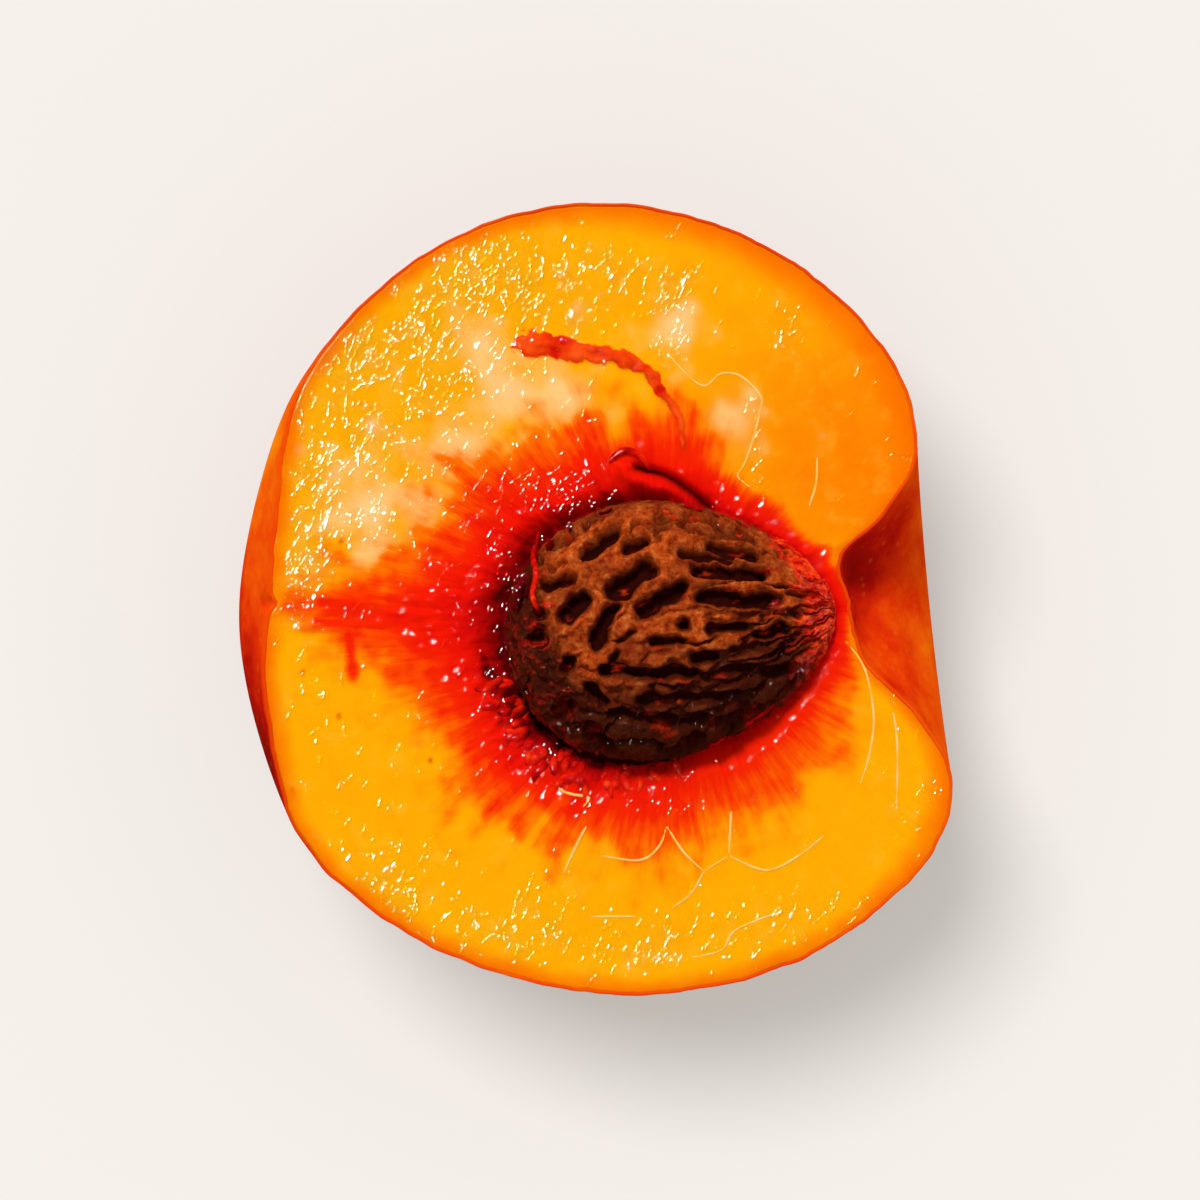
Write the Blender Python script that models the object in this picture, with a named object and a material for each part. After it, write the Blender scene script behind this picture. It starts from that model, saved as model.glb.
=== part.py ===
"""A halved peach lying on its rounded cheek, cut face up, with the whole stone left in its hollow.

Two solids: the flesh with its skin, and the stone. Sizes are in millimetres and MM turns them to metres.
+X runs along the fruit's own axis to the stem cavity, +Y across the cut face and +Z up out of it.
The origin is under the middle of the whole object, on the surface that it rests on.
"""

import math

import bmesh
import bpy
from mathutils import Matrix, Vector

MM = 0.001

# The cut face, as two half outlines from the blossom end round a shoulder to the foot of the stem cavity.
BLOSSOM_END = (-29.3, 0.0)
CAVITY_FOOT = (22.1, 0.0)
FAR_SHOULDER = [
    BLOSSOM_END, (-28.7, 8.0), (-26.4, 19.2), (-17.3, 29.4), (-6.0, 34.5), (6.0, 34.5),
    (17.2, 29.9), (25.5, 21.8), (28.1, 13.5), (25.2, 7.6), (21.4, 3.9), CAVITY_FOOT,
]
NEAR_SHOULDER = [
    BLOSSOM_END, (-29.6, -9.0), (-26.4, -21.2), (-17.2, -29.4), (-6.0, -33.8), (6.0, -34.8),
    (18.2, -31.6), (28.2, -24.0), (31.2, -16.4), (28.2, -10.2), (23.4, -5.2), CAVITY_FOOT,
]
CHEEK_DEPTH = 33.0
FLAT_SPOT_DEPTH = 0.6
# Past the blossom end the cheek swells out beyond the cut, most at a third of the way down.
SWELL = 3.5
SWELL_DEPTH = 26.0
SWELL_HEADING = math.radians(181)
SWELL_SPREAD = math.radians(52)
# The whole cheek is a touch wider below the cut.
BELLY = 0.012

STONE_LENGTH = 29.4
STONE_HALF_WIDTH = 11.5
STONE_HALF_HEIGHT = 8.6
STONE_CENTRE = (6.3, -2.5)
STONE_TURN = math.radians(7)
WIDEST_AT = 0.44
KEEL_POWER = 1.85
FURROW_DEPTH = 1.1
DEEPEST_FURROW = 1.9

# The hollow round the stone is tight underneath and at the tip, and open towards the blossom end.
GAP_BELOW = 0.35
GAP_AT_TIP = 0.35
GAP_BESIDE = 0.5
GAP_OPEN = 1.5
OPEN_HEADING = math.radians(215)
# The cutter stands a little proud, so that its widest ring doesn't lie in the flat of the cut.
CUTTER_LIFT = 0.06

# The main furrows on a cheek of the stone: place along it, place across it, length, width, turn in degrees.
FURROWS = [
    (-5.3, 8.5, 4.4, 1.4, 38), (-3.0, 4.8, 5.2, 1.9, 30), (-8.2, 2.9, 3.6, 1.9, 43), (-6.0, 1.0, 4.6, 1.5, 61),
    (-0.7, 2.7, 5.4, 1.8, 23), (-12.7, 4.8, 3.2, 1.6, 58), (-9.3, 5.5, 3.2, 1.3, 3), (3.7, 6.2, 4.8, 1.3, -12),
    (5.6, 4.4, 7.2, 1.4, -12), (6.1, 1.9, 7.6, 1.5, -12), (4.7, -0.5, 3.9, 1.3, -2), (8.4, -1.5, 3.8, 1.3, 8),
    (-2.4, -3.6, 9.0, 1.4, -9), (4.3, -4.5, 5.2, 1.3, 0), (1.0, -6.4, 9.6, 1.3, -7), (3.4, -8.7, 7.4, 1.3, -2),
    (-7.3, -5.0, 2.8, 1.4, -57), (-3.4, -7.6, 6.4, 1.3, -15), (-7.2, -9.5, 4.2, 1.4, -57),
    (-10.2, -6.1, 2.2, 2.0, 0),
]

PROFILE_STEPS = 40
CHEEK_STEPS = 22
STONE_RINGS = 58
STONE_SIDES = 62
HOLLOW_RINGS = 28
HOLLOW_SIDES = 36
# The stone's sides are drawn closer together over the cheek that shows.
SIDES_CROWDED_UP = 0.4
SHARP_EDGE = math.radians(50)



def clear_scene():
    for obj in list(bpy.data.objects):
        bpy.data.objects.remove(obj)



def finish(name, colour, roughness):
    material = bpy.data.materials.new(name)
    material.use_nodes = True
    shader = material.node_tree.nodes["Principled BSDF"]
    shader.inputs["Base Color"].default_value = (*colour, 1.0)
    shader.inputs["Roughness"].default_value = roughness
    shader.inputs["Metallic"].default_value = 0.0
    return material



def smoothstep(low, high, x):
    t = min(1.0, max(0.0, (x - low) / (high - low)))
    return t * t * (3 - 2 * t)



def along(points, t):
    """The point at share t of a Catmull-Rom curve through points."""
    place = t * (len(points) - 1)
    i = min(int(place), len(points) - 2)
    f = place - i
    a, b, c, d = (Vector(points[min(max(k, 0), len(points) - 1)]) for k in range(i - 1, i + 3))
    return 0.5 * (2 * b + (c - a) * f + (2 * a - 5 * b + 4 * c - d) * f * f + (3 * b - a - 3 * c + d) * f ** 3)



def cheek_point(t, turn):
    """A point on the skin: share t from the blossom end to the stem cavity, turn from 0 at +Y under to pi at -Y."""
    far, near = along(FAR_SHOULDER, t), along(NEAR_SHOULDER, t)
    share = (1 - math.cos(turn)) / 2
    x = far.x + (near.x - far.x) * share
    radius = abs(far.y) + (abs(near.y) - abs(far.y)) * share
    deepest = max(abs(y) for _, y in FAR_SHOULDER + NEAR_SHOULDER)
    depth = radius * math.sin(turn) * CHEEK_DEPTH / deepest
    belly = 1 + BELLY * math.sin(math.pi * min(depth / SWELL_DEPTH, 1.0))
    point = Vector((x * belly, radius * math.cos(turn) * belly, -depth))
    return point + Vector((-swell(point), 0.0, 0.0))



def swell(point):
    """How far the cheek stands out past the cut at the blossom end."""
    off = abs(math.remainder(math.atan2(point.y, point.x) - SWELL_HEADING, math.tau)) / SWELL_SPREAD
    down = min(-point.z / SWELL_DEPTH, 1.0)
    outer = smoothstep(6.0, 22.0, math.hypot(point.x, point.y))
    return SWELL * outer * math.sin(math.pi * down) * (1 - smoothstep(0.0, 1.0, off))



def cheek():
    """The peach half before its hollow is scooped: the skin as a lofted grid, closed by the flat of the cut."""
    bm = bmesh.new()
    bmesh.ops.create_grid(bm, x_segments=PROFILE_STEPS, y_segments=CHEEK_STEPS, size=0.5)
    for v in bm.verts:
        v.co = cheek_point(v.co.x + 0.5, (v.co.y + 0.5) * math.pi) * MM
    bmesh.ops.remove_doubles(bm, verts=bm.verts, dist=0.01 * MM)
    bmesh.ops.contextual_create(bm, geom=[e for e in bm.edges if e.is_boundary])
    spot = min(v.co.z for v in bm.verts) + FLAT_SPOT_DEPTH * MM
    cut = bmesh.ops.bisect_plane(
        bm, geom=bm.verts[:] + bm.edges[:] + bm.faces[:],
        plane_co=(0, 0, spot), plane_no=(0, 0, -1), clear_outer=True,
    )
    ring = [e for e in cut["geom_cut"] if isinstance(e, bmesh.types.BMEdge)]
    bmesh.ops.contextual_create(bm, geom=ring)
    bmesh.ops.triangulate(bm, faces=bm.faces)
    bmesh.ops.recalc_face_normals(bm, faces=bm.faces)
    return bm


def stone_half_width(share):
    """Half the stone's width at this share of its length: blunt at the blossom end, drawn to a point at the stem."""
    if share < WIDEST_AT:
        back = (WIDEST_AT - share) / WIDEST_AT
        return STONE_HALF_WIDTH * math.sqrt(max(0.0, 1 - back ** 2))
    fore = (share - WIDEST_AT) / (1 - WIDEST_AT)
    return STONE_HALF_WIDTH * max(0.0, 1 - fore ** 1.7) ** 0.64


def stone_point(sphere_point, crowding=0.0):
    """Where a point of a unit sphere, poles along X, comes to lie on the smooth stone. The keel is at z = 0."""
    x, y, z = sphere_point
    half_width = stone_half_width((x + 1) / 2)
    half_height = half_width * STONE_HALF_HEIGHT / STONE_HALF_WIDTH
    from_top = math.atan2(-y, z)
    turn = math.pi / 2 + from_top - crowding * math.sin(from_top)
    if half_width < 1e-6:
        return Vector((x * STONE_LENGTH / 2, 0.0, 0.0))
    reach = (abs(math.cos(turn)) / half_width) ** KEEL_POWER + (abs(math.sin(turn)) / half_height) ** KEEL_POWER
    radius = reach ** (-1 / KEEL_POWER)
    return Vector((x * STONE_LENGTH / 2, radius * math.cos(turn), radius * math.sin(turn)))


def furrow_depth(x, y):
    """How deep the furrows are at this place on the cheek: each is a slot with round ends and steep walls."""
    deepest = 0.0
    for middle_x, middle_y, length, width, turn in FURROWS:
        cos_turn, sin_turn = math.cos(math.radians(turn)), math.sin(math.radians(turn))
        lengthwise = (x - middle_x) * cos_turn + (y - middle_y) * sin_turn
        across = (y - middle_y) * cos_turn - (x - middle_x) * sin_turn
        past_end = max(abs(lengthwise) - (length - width) / 2, 0.0)
        off = math.hypot(past_end, across) / (width / 2)
        depth = min(FURROW_DEPTH * width, DEEPEST_FURROW)
        deepest = max(deepest, depth * (1 - smoothstep(0.3, 1.5, off)))
    return deepest


def sphere_along_x(rings, sides):
    bm = bmesh.new()
    bmesh.ops.create_uvsphere(bm, u_segments=sides, v_segments=rings, radius=1.0)
    bmesh.ops.rotate(bm, verts=bm.verts, matrix=Matrix.Rotation(math.pi / 2, 3, "Y"))
    return bm


def stone():
    """The whole stone, furrowed alike on both cheeks, with its keel left plain."""
    bm = sphere_along_x(STONE_RINGS, STONE_SIDES)
    for v in bm.verts:
        point = stone_point(v.co, SIDES_CROWDED_UP)
        off_keel = smoothstep(0.05, 0.3, abs(point.z) / STONE_HALF_HEIGHT)
        inward = Vector((0.0, -point.y, -point.z))
        if inward.length > 0.01:
            cheek_depth = min(furrow_depth(point.x, point.y), 0.5 * inward.length)
            point += inward.normalized() * cheek_depth * off_keel
        v.co = point * MM
    bmesh.ops.recalc_face_normals(bm, faces=bm.faces)
    return bm


def hollow():
    """The cutter for the hollow in the flesh: the smooth stone, grown by the gap round it."""
    bm = sphere_along_x(HOLLOW_RINGS, HOLLOW_SIDES)
    for v in bm.verts:
        point = stone_point(v.co)
        slope = Vector((
            point.x / (STONE_LENGTH / 2) ** 2, point.y / STONE_HALF_WIDTH ** 2, point.z / STONE_HALF_HEIGHT ** 2,
        )).normalized()
        heading = math.atan2(slope.y, slope.x)
        open_share = max(0.0, math.cos(heading - OPEN_HEADING)) ** 2
        at_tip = smoothstep(0.6, 0.95, point.x / (STONE_LENGTH / 2))
        beside = GAP_BESIDE + (GAP_OPEN - GAP_BESIDE) * open_share
        beside += (GAP_AT_TIP - beside) * at_tip
        point += Vector((slope.x * beside, slope.y * beside, slope.z * GAP_BELOW))
        v.co = point * MM
    bmesh.ops.recalc_face_normals(bm, faces=bm.faces)
    return bm


def add(name, bm, material, parent):
    """A named object from bm, smooth all over but for its sharp edges."""
    mesh = bpy.data.meshes.new(name)
    bm.to_mesh(mesh)
    bm.free()
    mesh.materials.append(material)
    mesh.shade_smooth()
    mesh.set_sharp_from_angle(angle=SHARP_EDGE)
    obj = bpy.data.objects.new(name, mesh)
    obj.parent = parent
    bpy.context.scene.collection.objects.link(obj)
    return obj


def build():
    clear_scene()
    cut_centre = bpy.data.objects.new("cut_centre", None)
    bpy.context.scene.collection.objects.link(cut_centre)

    flesh = add("flesh", cheek(), finish("ripe_flesh", (0.95, 0.42, 0.02), 0.3), cut_centre)
    pit = add("stone", stone(), finish("peach_stone", (0.3, 0.1, 0.04), 0.7), cut_centre)
    scoop = add("hollow", hollow(), finish("hollow", (0.5, 0.02, 0.02), 0.4), cut_centre)
    for obj in (pit, scoop):
        obj.location = (STONE_CENTRE[0] * MM, STONE_CENTRE[1] * MM, 0.0)
        obj.rotation_euler.z = STONE_TURN
    scoop.location.z = CUTTER_LIFT * MM
    scoop.hide_render = True
    scoop.display_type = "WIRE"

    cut = flesh.modifiers.new("scooped", "BOOLEAN")
    cut.operation = "DIFFERENCE"
    cut.object = scoop

    points = [v.co for v in flesh.data.vertices]
    middle_x = (min(p.x for p in points) + max(p.x for p in points)) / 2
    middle_y = (min(p.y for p in points) + max(p.y for p in points)) / 2
    cut_centre.location = (-middle_x, -middle_y, -min(p.z for p in points))


build()
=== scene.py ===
import math
import random
from functools import partial

import bmesh
import bpy
import numpy as np
from mathutils import Matrix, Vector, noise
from mathutils.bvhtree import BVHTree


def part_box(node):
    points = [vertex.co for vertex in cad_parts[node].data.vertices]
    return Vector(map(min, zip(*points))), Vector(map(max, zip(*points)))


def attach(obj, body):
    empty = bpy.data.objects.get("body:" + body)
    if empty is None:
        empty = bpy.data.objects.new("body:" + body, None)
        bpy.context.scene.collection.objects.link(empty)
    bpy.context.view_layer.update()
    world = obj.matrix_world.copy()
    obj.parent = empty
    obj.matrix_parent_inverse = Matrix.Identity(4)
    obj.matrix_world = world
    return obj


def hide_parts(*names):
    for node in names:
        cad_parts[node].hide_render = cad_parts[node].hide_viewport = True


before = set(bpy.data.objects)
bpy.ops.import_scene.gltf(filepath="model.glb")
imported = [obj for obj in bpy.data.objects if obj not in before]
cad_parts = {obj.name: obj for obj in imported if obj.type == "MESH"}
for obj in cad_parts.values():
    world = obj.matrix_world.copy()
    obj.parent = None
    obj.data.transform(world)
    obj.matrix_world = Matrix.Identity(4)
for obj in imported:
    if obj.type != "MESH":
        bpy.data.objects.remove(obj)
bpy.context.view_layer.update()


# ---------------------------------------------------------------------------------------------------------
# The cut flesh of a ripe yellow peach. A knife went round the suture and the halves were twisted apart,
# so the face is flat and wet, torn into fibres round the stone, and stained red where it was grown to it.
# It is one closed piece: the bowl of the hollow, the cut face, and the inside of the skin underneath.

MM = 0.001

# The cut, as two half outlines in mm from the blossom end round a shoulder to the foot of the stem cavity.
BLOSSOM_END = (-29.3, 0.0)
CAVITY_FOOT = (22.1, 0.0)
FAR_SHOULDER = [
    BLOSSOM_END, (-28.7, 8.0), (-26.4, 19.2), (-17.3, 29.4), (-6.0, 34.5), (6.0, 34.5),
    (17.2, 29.9), (25.5, 21.8), (28.1, 13.5), (25.2, 7.6), (21.4, 3.9), CAVITY_FOOT,
]
NEAR_SHOULDER = [
    BLOSSOM_END, (-29.6, -9.0), (-26.4, -21.2), (-17.2, -29.4), (-6.0, -33.8), (6.0, -34.8),
    (18.2, -31.6), (28.2, -24.0), (31.2, -16.4), (28.2, -10.2), (23.4, -5.2), CAVITY_FOOT,
]
CHEEK_DEPTH = 33.0
FLAT_SPOT_DEPTH = 0.6
SWELL = 3.5
SWELL_DEPTH = 26.0
SWELL_HEADING = math.radians(181)
SWELL_SPREAD = math.radians(52)
BELLY = 0.012
FULLER_BELLY = 0.015
FULLER_HEADING = math.radians(140)
SKIN_THICKNESS = 0.3
# The knife's rim strays by this much, and is drawn in at the dried blossom tip. Lengths in mm.
RIM_UNEVENNESS = 0.16
DRIED_TIP_HEADING = math.radians(176.4)
DRIED_TIP_SPREAD = 0.016
DRIED_TIP_DEPTH = 0.5

STONE_LENGTH = 29.4
STONE_HALF_WIDTH = 11.5
STONE_HALF_HEIGHT = 8.6
STONE_CENTRE = (6.3, -2.5)
STONE_TURN = math.radians(7)
WIDEST_AT = 0.44
KEEL_POWER = 1.85

# Round the stone, every 30 degrees from the stem end: how far the red runs out and how strong it is, how
# wide the gap is, how deep and how wide the flesh falls away towards it, and how darkly it is painted in
# shade where it falls. Lengths are in mm.
RED_REACH = [1.6, 2.0, 3.0, 7.4, 7.0, 9.2, 11.2, 7.6, 6.6, 8.2, 6.8, 6.0]
RED_STRENGTH = [1.0, 1.0, 0.95, 0.95, 1.0, 1.0, 1.0, 1.0, 1.0, 0.75, 0.7, 0.7]
GAP = [-0.9, -0.4, -0.3, -0.2, -0.2, -0.1, 0.2, 1.0, 0.9, 0.1, -0.1, -0.4]
FALL_DEPTH = [0.2, 0.2, 0.4, 0.8, 1.6, 2.3, 3.0, 1.8, 1.0, 0.8, 1.8, 0.9]
FALL_WIDTH = [1.3, 1.0, 0.9, 1.5, 2.4, 3.6, 4.6, 2.0, 1.2, 1.6, 3.2, 2.6]
FALL_SHADE = [0.0, 0.1, 0.4, 0.8, 1.0, 1.0, 1.0, 0.25, 0.1, 0.1, 0.35, 0.3]

# The torn split above the stone, the slit behind the lip over it, and the red streaks by the blossom end.
SPLIT = [(-6.2, 22.5), (-2.2, 22.1), (0.0, 21.7), (3.5, 20.8), (5.7, 18.1), (7.1, 15.9), (7.3, 13.7)]
SLIT = [(3.3, 11.7), (6.0, 10.9), (8.2, 9.4), (9.6, 8.2)]
STREAKS = [
    ([(-24.6, -0.2), (-21.6, -0.4)], 0.8), ([(-22.2, -3.1), (-21.8, -6.8)], 0.6),
    ([(-20.5, -2.0), (-14.0, 1.0)], 0.9), ([(-25.0, -1.9), (-17.0, -2.6)], 0.5),
]
FLECKS = [
    (-14.5, -11.0), (-15.0, -14.2), (-10.4, -16.3), (-26.3, -6.4), (-23.1, -10.3), (-27.2, -16.9),
    (-12.4, -12.8), (-10.2, -9.6), (16.0, -12.0), (-22.9, 5.2),
]
PALE_PATCHES = [
    (-19.5, 4.8, 2.0), (-8.3, 18.6, 2.4), (-12.4, 12.6, 3.0), (-3.0, 17.5, 2.2), (-20.5, 8.4, 2.8),
    (-10.5, 22.5, 1.8), (-16.0, 8.5, 2.2), (11.4, 15.9, 1.5), (6.5, 24.3, 1.5),
]
# Where the cut is wet and torn: middle and half size in mm, and how many groups of drops stand there.
WET_PATCHES = [
    (-14.0, 23.0, 7.0, 6.0, 170), (-21.0, 14.0, 4.0, 7.0, 120), (-4.0, 28.0, 7.0, 4.0, 120),
    (6.3, 25.0, 1.5, 3.0, 46), (-20.0, 21.0, 4.0, 4.0, 80), (-25.0, 9.0, 2.0, 5.0, 60),
    (-10.0, 28.5, 4.0, 2.5, 70), (15.7, 23.4, 1.0, 1.5, 14), (-26.0, 3.0, 2.0, 4.0, 40),
    (-12.0, 6.0, 4.0, 4.0, 30), (-6.0, 12.0, 4.0, 3.0, 24), (13.7, 14.0, 0.4, 2.5, 14),
    (-9.0, -5.0, 2.5, 4.0, 40), (-4.0, -14.0, 4.0, 2.5, 40), (4.0, -17.0, 6.0, 1.5, 24),
    (-8.0, -29.0, 9.0, 2.5, 110), (5.1, -31.0, 5.0, 1.6, 60), (28.0, -18.0, 1.8, 5.0, 26),
    (18.0, -28.0, 5.0, 1.6, 44), (0.0, 0.0, 24.0, 24.0, 130), (-23.0, -12.0, 3.0, 6.0, 36),
    (26.5, 14.0, 1.2, 6.0, 12), (-4.5, 9.0, 2.0, 2.0, 56), (-8.5, 1.0, 1.5, 3.0, 50),
    (-19.0, -24.5, 4.0, 3.0, 60),
]
# Which way the torn cells lean across the cut.
GRAIN_LEAN = math.radians(62)
# The bowl of the hollow ends this far under the stone, and the inside of the skin this far above its bottom.
UNDER_STONE = 0.6
LINING_RISE = 3.0
# The cut reaches this far under the edge of the skin, so that no gap shows between them.
TUCKED_IN = 0.05

# How many columns the flesh has round the stone, and rows in the hollow, on the cut and under the skin.
AROUND = 640
IN_HOLLOW = 26
ON_CUT = 118
UNDER_SKIN = 10


def smoothstep(low, high, x):
    t = np.clip((x - low) / (high - low), 0.0, 1.0)
    return t * t * (3 - 2 * t)


def bump_at(distance, width):
    """1 where the distance is 0, falling away smoothly over this width."""
    return np.exp(-(distance / width) ** 2)


def angle_between(heading, other):
    return np.remainder(heading - other + math.pi, math.tau) - math.pi


def along(points, share):
    """The points at these shares of a Catmull-Rom curve."""
    points = np.asarray(points, float)
    place = np.clip(share, 0.0, 1.0) * (len(points) - 1)
    i = np.minimum(place.astype(int), len(points) - 2)
    f = (place - i)[..., None]
    a, b, c, d = (points[np.clip(i + k, 0, len(points) - 1)] for k in (-1, 0, 1, 2))
    return 0.5 * (
        2 * b + (c - a) * f + (2 * a - 5 * b + 4 * c - d) * f ** 2 + (3 * b - a - 3 * c + d) * f ** 3)


def lumps(places, size, seed, octaves=1):
    """Smooth unevenness from about -1 to 1 at each place, in lumps of this size in mm."""
    shift = Vector((seed * 17.3, seed * -5.1, seed * 9.7))
    return np.array([noise.fractal(Vector(p) / size + shift, 1.0, 2.0, octaves) for p in places])


def cheek_points(share, turn):
    """Points on the skin: share of the way from blossom end to stem cavity, turn from +Y under to -Y."""
    far, near = along(FAR_SHOULDER, share), along(NEAR_SHOULDER, share)
    towards_near = (1 - np.cos(turn)) / 2
    x = far[..., 0] + (near[..., 0] - far[..., 0]) * towards_near
    radius = abs(far[..., 1]) + (abs(near[..., 1]) - abs(far[..., 1])) * towards_near
    deepest = max(abs(y) for _, y in FAR_SHOULDER + NEAR_SHOULDER)
    depth = radius * np.sin(turn) * CHEEK_DEPTH / deepest
    fuller = bump_at(angle_between(np.arctan2(radius * np.cos(turn), x), FULLER_HEADING), 0.6)
    belly = 1 + (BELLY + FULLER_BELLY * fuller) * np.sin(math.pi * np.clip(depth / SWELL_DEPTH, 0, 1))
    x, y = x * belly, radius * np.cos(turn) * belly
    off = np.abs(angle_between(np.arctan2(y, x), SWELL_HEADING)) / SWELL_SPREAD
    outer = smoothstep(6.0, 22.0, np.hypot(x, y))
    down = np.clip(depth / SWELL_DEPTH, 0, 1)
    x = x - SWELL * outer * np.sin(math.pi * down) * (1 - smoothstep(0.0, 1.0, off))
    depth = np.minimum(depth, CHEEK_DEPTH - FLAT_SPOT_DEPTH)
    return np.stack([x, y, -depth], axis=-1)


def seat_in_frame():
    """Where the middle of the cut lies in the frame, in mm, so that this half fills the CAD flesh's box."""
    share, turn = np.meshgrid(np.linspace(0, 1, 161), np.linspace(0, math.pi, 81))
    own = cheek_points(share, turn).reshape(-1, 3)
    low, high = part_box("flesh")
    middle = np.array((low + high) / 2) / MM
    own_middle = (own.min(0) + own.max(0)) / 2
    return np.array([middle[0] - own_middle[0], middle[1] - own_middle[1], high.z / MM])


SEAT = seat_in_frame()


def stone_half_width(share):
    back = np.clip((WIDEST_AT - share) / WIDEST_AT, 0, 1)
    fore = np.clip((share - WIDEST_AT) / (1 - WIDEST_AT), 0, 1)
    return STONE_HALF_WIDTH * np.where(share < WIDEST_AT, np.sqrt(1 - back ** 2), (1 - fore ** 1.7) ** 0.64)


def turned(x, y, angle):
    return x * math.cos(angle) - y * math.sin(angle), x * math.sin(angle) + y * math.cos(angle)


def smooth_stone_top(x, y):
    """The height in mm of the unfurrowed stone over the cut, or 0 beside it."""
    lengthwise, across = turned(x - STONE_CENTRE[0], y - STONE_CENTRE[1], -STONE_TURN)
    half_width = np.maximum(stone_half_width(lengthwise / STONE_LENGTH + 0.5), 1e-6)
    inside = np.clip(1 - (np.abs(across) / half_width) ** KEEL_POWER, 0, 1)
    top = half_width * STONE_HALF_HEIGHT / STONE_HALF_WIDTH * inside ** (1 / KEEL_POWER)
    return np.where(np.abs(lengthwise) < STONE_LENGTH / 2, top, 0.0)


def reach_of(outline, heading):
    """How far an outline lies from the stone's middle at these headings."""
    off = outline - np.array(STONE_CENTRE)
    distance = np.hypot(off[:, 0], off[:, 1])
    return np.interp(heading, np.arctan2(off[:, 1], off[:, 0]), distance, period=math.tau)


def stone_reach(heading):
    share = (1 - np.cos(np.linspace(0, math.pi, 200))) / 2
    x = np.tile((share - 0.5) * STONE_LENGTH, 2)
    y = np.concatenate([stone_half_width(share), -stone_half_width(share)])
    x, y = turned(x, y, STONE_TURN)
    return reach_of(np.column_stack([x, y]) + np.array(STONE_CENTRE), heading)


def rim_stray(heading):
    """How far the knife left the outline uneven, in mm outwards."""
    uneven = lumps(np.column_stack([30 * np.cos(heading), 30 * np.sin(heading), 0 * heading]), 2.2, 16, 4)
    dried_tip = bump_at(angle_between(heading, DRIED_TIP_HEADING), DRIED_TIP_SPREAD)
    return RIM_UNEVENNESS * uneven - DRIED_TIP_DEPTH * dried_tip


def skin_reach(heading):
    share = np.linspace(0, 1, 500)
    outline = np.concatenate([along(FAR_SHOULDER, share), along(NEAR_SHOULDER, share)])
    return reach_of(outline, heading) + rim_stray(heading)


def round_stone(values, heading):
    """Values given every 30 degrees from the stem end, smoothed to any heading."""
    place = np.remainder(heading, math.tau) / math.tau * len(values)
    i = place.astype(int)
    f = place - i
    f = f * f * (3 - 2 * f)
    values = np.asarray(values, float)
    return values[i % len(values)] * (1 - f) + values[(i + 1) % len(values)] * f


def fibre_places(heading, out, stretch):
    """Places in a space wrapped round the stone, where what is lumpy runs out along the fibres."""
    return np.column_stack([14 * np.cos(heading), 14 * np.sin(heading), out / stretch])


def hollow_reach(heading):
    """How far out the rim of the hollow is: the flesh has sunk here and follows the stone's narrowing."""
    ragged = lumps(fibre_places(heading, heading * 0, 1), 1.3, 3, 2)
    gap = round_stone(GAP, heading)
    sunk = np.clip(round_stone(FALL_DEPTH, heading) / STONE_HALF_HEIGHT, 0, 1)
    narrowing = (1 - sunk ** KEEL_POWER) ** (1 / KEEL_POWER)
    return stone_reach(heading) * narrowing + gap + (0.25 + 0.3 * np.clip(gap, 0, 1.2)) * ragged


def off_line(x, y, line):
    """Distance to a line through points, share along it, and which side, at each place."""
    best = np.full(x.shape, 1e9)
    share = np.zeros(x.shape)
    side = np.zeros(x.shape)
    curve = along(line, np.linspace(0, 1, 6 * len(line)))
    for k, (a, b) in enumerate(zip(curve, curve[1:])):
        step = b - a
        t = np.clip(((x - a[0]) * step[0] + (y - a[1]) * step[1]) / (step @ step), 0, 1)
        dx, dy = x - a[0] - t * step[0], y - a[1] - t * step[1]
        distance = np.hypot(dx, dy)
        nearer = distance < best
        best = np.where(nearer, distance, best)
        share = np.where(nearer, (k + t) / (len(curve) - 1), share)
        side = np.where(nearer, np.sign(step[0] * dy - step[1] * dx), side)
    return best, share, side


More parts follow.
